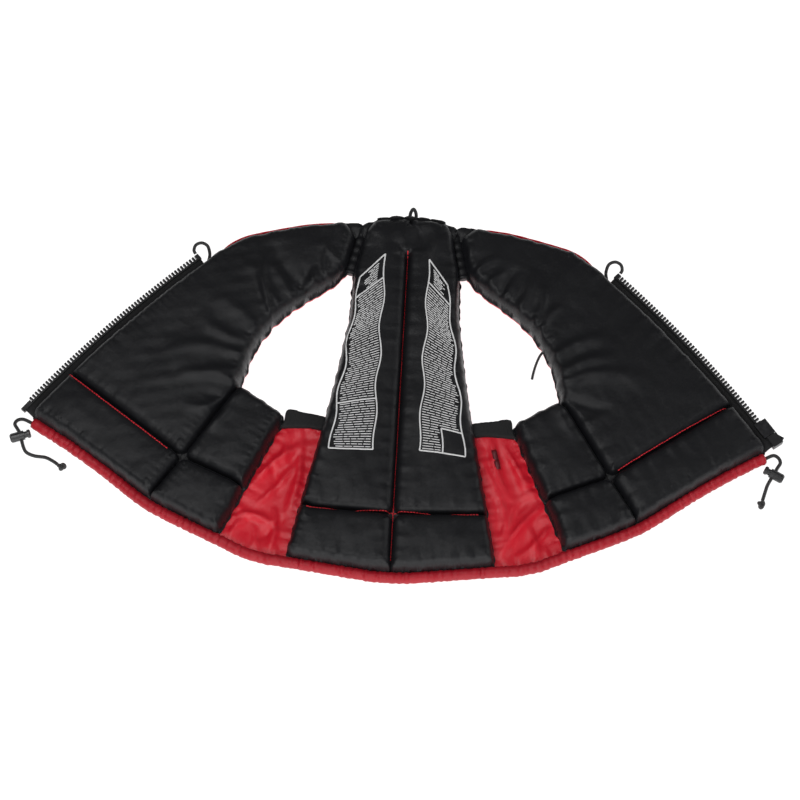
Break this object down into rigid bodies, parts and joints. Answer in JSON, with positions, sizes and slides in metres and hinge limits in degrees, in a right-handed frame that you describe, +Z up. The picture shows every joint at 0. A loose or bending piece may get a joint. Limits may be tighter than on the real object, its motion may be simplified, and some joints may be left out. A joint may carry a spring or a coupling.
{
  "type": "life jacket",
  "caption": "Front-zip buoyancy vest opened flat with its lining upwards, with padded foam cells, red side panels, gathered hem and drawcord locks.",
  "frame": {"origin": "middle of the back panel, on the underside of the back shell, which is the face the vest lies on", "axes": "+X across the opened vest to the right, +Y up the back to the collar, +Z up out of the lining"},
  "size_m": [0.8577, 0.4506, 0.033],
  "materials": {
    "lining": "near-black proofed nylon with a soft sheen",
    "shell": "red proofed nylon",
    "foam": "closed-cell buoyancy foam",
    "binding": "black elastic webbing",
    "cord": "black braided cord",
    "tape": "black woven zip tape",
    "moulded": "moulded dark grey plastic",
    "metal": "black coated die-cast metal",
    "spring": "spring steel"
  },
  "bodies": {
    "back": {"back_shell": "shell", "back_lining": "lining", "left_back_column_foam": "foam", "left_back_lower_foam": "foam", "left_side_panel_back": "shell", "left_side_binding_back": "binding", "right_back_column_foam": "foam", "right_back_lower_foam": "foam", "right_side_panel_back": "shell", "right_side_binding_back": "binding", "collar_binding": "binding", "hanging_loop": "cord", "back_hem_casing": "shell", "back_hem_cord": "cord"},
    "left_front": {"left_front_shell": "shell", "left_front_lining": "lining", "left_chest_foam": "foam", "left_strap_foam": "foam", "left_waist_strip_foam": "foam", "left_side_upper_foam": "foam", "left_side_lower_foam": "foam", "left_side_panel_front": "shell", "left_side_binding_front": "binding", "left_hem_casing": "shell", "left_hem_cord": "cord", "left_zip_tape": "tape", "left_zip_teeth": "moulded", "left_zip_top_stop": "moulded", "left_zip_loop": "cord", "left_cord_end": "cord", "left_cord_knot": "cord", "left_zip_pin": "moulded"},
    "right_front": {"right_front_shell": "shell", "right_front_lining": "lining", "right_chest_foam": "foam", "right_strap_foam": "foam", "right_waist_strip_foam": "foam", "right_side_upper_foam": "foam", "right_side_lower_foam": "foam", "right_side_panel_front": "shell", "right_side_binding_front": "binding", "right_hem_casing": "shell", "right_hem_cord": "cord", "right_zip_tape": "tape", "right_zip_teeth": "moulded", "right_zip_top_stop": "moulded", "right_zip_loop": "cord", "right_cord_end": "cord", "right_cord_knot": "cord", "right_zip_box": "moulded", "armhole_cord_end": "cord"},
    "zip_slider": {"right_zip_slider": "metal"},
    "zip_puller": {"right_zip_puller": "metal"},
    "left_cord_lock": {"left_cord_lock_barrel": "moulded", "left_cord_lock_spring": "spring"},
    "left_lock_plunger": {"left_cord_lock_plunger": "moulded"},
    "right_cord_lock": {"right_cord_lock_barrel": "moulded", "right_cord_lock_spring": "spring"},
    "right_lock_plunger": {"right_cord_lock_plunger": "moulded"}
  },
  "joints": [
    {"name": "left_front_fold", "type": "hinge", "parent": "back", "child": "left_front", "pos_m": [-0.059, 0.177, 0.0165], "axis": [0.209, 0.9779, 0], "range_deg": [0, 109]},
    {"name": "right_front_fold", "type": "hinge", "parent": "back", "child": "right_front", "pos_m": [0.059, 0.177, 0.0165], "axis": [0.209, -0.9779, 0], "range_deg": [0, 109]},
    {"name": "zip_slider_travel", "type": "hinge", "parent": "right_front", "child": "zip_slider", "pos_m": [-0.69338, -0.84579, 0.0165], "axis": [0, 0, 1], "range_deg": [0, 9.68]},
    {"name": "zip_puller_swing", "type": "hinge", "parent": "zip_slider", "child": "zip_puller", "pos_m": [0.40358, -0.02132, 0.0104], "axis": [0.4773, 0.8787, 0], "range_deg": [0, 100]},
    {"name": "left_cord_lock_slide", "type": "slide", "parent": "left_front", "child": "left_cord_lock", "axis": [0.3401, -0.9404, 0], "range_m": [0, 0.008]},
    {"name": "left_cord_lock_press", "type": "slide", "parent": "left_cord_lock", "child": "left_lock_plunger", "axis": [-0.9404, -0.3401, 0], "range_m": [0, 0.0032], "stiffness_N_per_m": 250, "springref_m": -0.001, "deforming": ["left_cord_lock_spring"]},
    {"name": "right_cord_lock_slide", "type": "slide", "parent": "right_front", "child": "right_cord_lock", "axis": [-0.4747, -0.8802, 0], "range_m": [0, 0.008]},
    {"name": "right_cord_lock_press", "type": "slide", "parent": "right_cord_lock", "child": "right_lock_plunger", "axis": [0.8802, -0.4747, 0], "range_m": [0, 0.0032], "stiffness_N_per_m": 250, "springref_m": -0.001, "deforming": ["right_cord_lock_spring"]}
  ]
}
